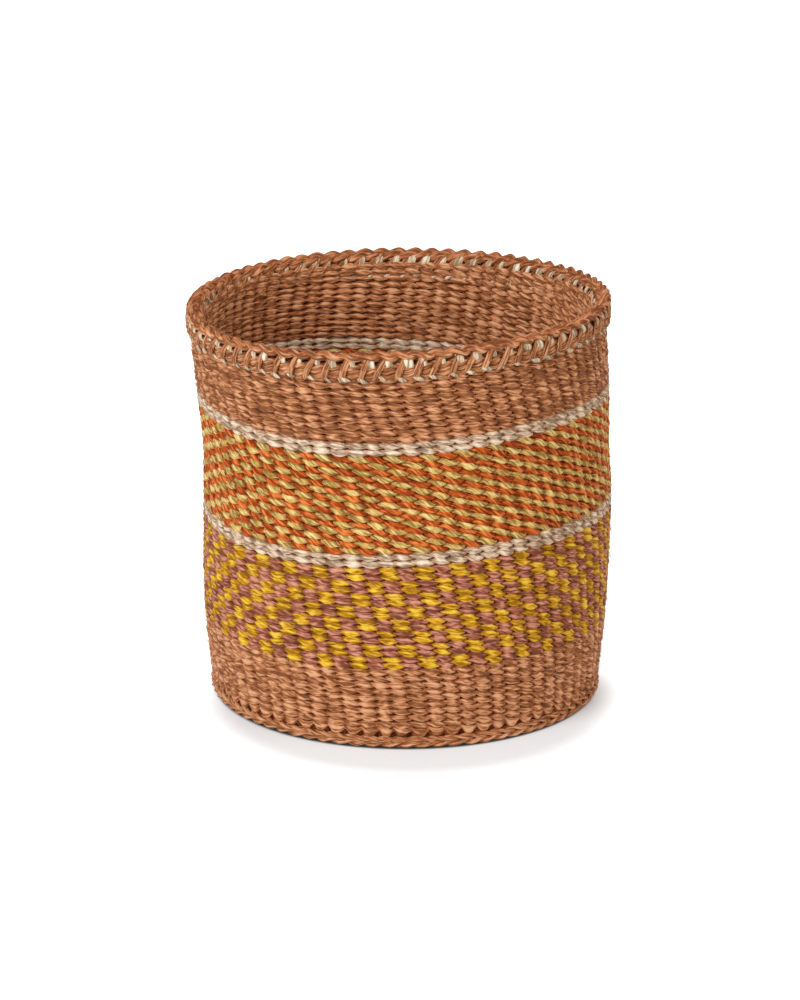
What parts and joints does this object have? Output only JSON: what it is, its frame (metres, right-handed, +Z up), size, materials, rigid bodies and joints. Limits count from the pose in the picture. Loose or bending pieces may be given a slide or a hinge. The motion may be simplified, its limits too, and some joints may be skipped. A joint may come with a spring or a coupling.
{
  "type": "kiondo basket",
  "caption": "Round open basket of twined sisal cord with plain and two-colour bands, a twisted foot cord and a lashed rim over folded stake ends.",
  "frame": {"origin": "on the ground, under the centre of the basket's outer box, which is the centre of its rim", "axes": "+Z up out of the mouth, +X to the side where the rim stands a little higher, +Y to the back"},
  "size_m": [0.187, 0.186, 0.1796],
  "materials": {
    "tan_sisal": "hand-spun sisal cord dyed terracotta tan, matt with a slight fibre sheen",
    "cream_sisal": "hand-spun sisal cord, pale pinkish cream",
    "natural_sisal": "undyed sisal stakes, pale straw white",
    "orange_sisal": "hand-spun sisal cord dyed burnt orange",
    "straw_sisal": "hand-spun sisal cord dyed pale straw yellow",
    "mustard_sisal": "hand-spun sisal cord dyed mustard yellow",
    "rose_sisal": "hand-spun sisal cord dyed dusty rose brown"
  },
  "bodies": {
    "root": {"base_weft": "tan_sisal", "base_centre_tie": "tan_sisal", "foot_cord_a": "tan_sisal", "foot_cord_b": "tan_sisal", "lower_tan_weft": "tan_sisal", "mustard_rose_weft": "mustard_sisal", "lower_cream_weft": "cream_sisal", "orange_straw_weft": "orange_sisal", "upper_cream_weft": "cream_sisal", "upper_tan_weft": "tan_sisal", "rim_stake_ends": "natural_sisal", "rim_binding": "tan_sisal", "rim_cord_a": "tan_sisal", "rim_cord_b": "tan_sisal"}
  },
  "joints": []
}
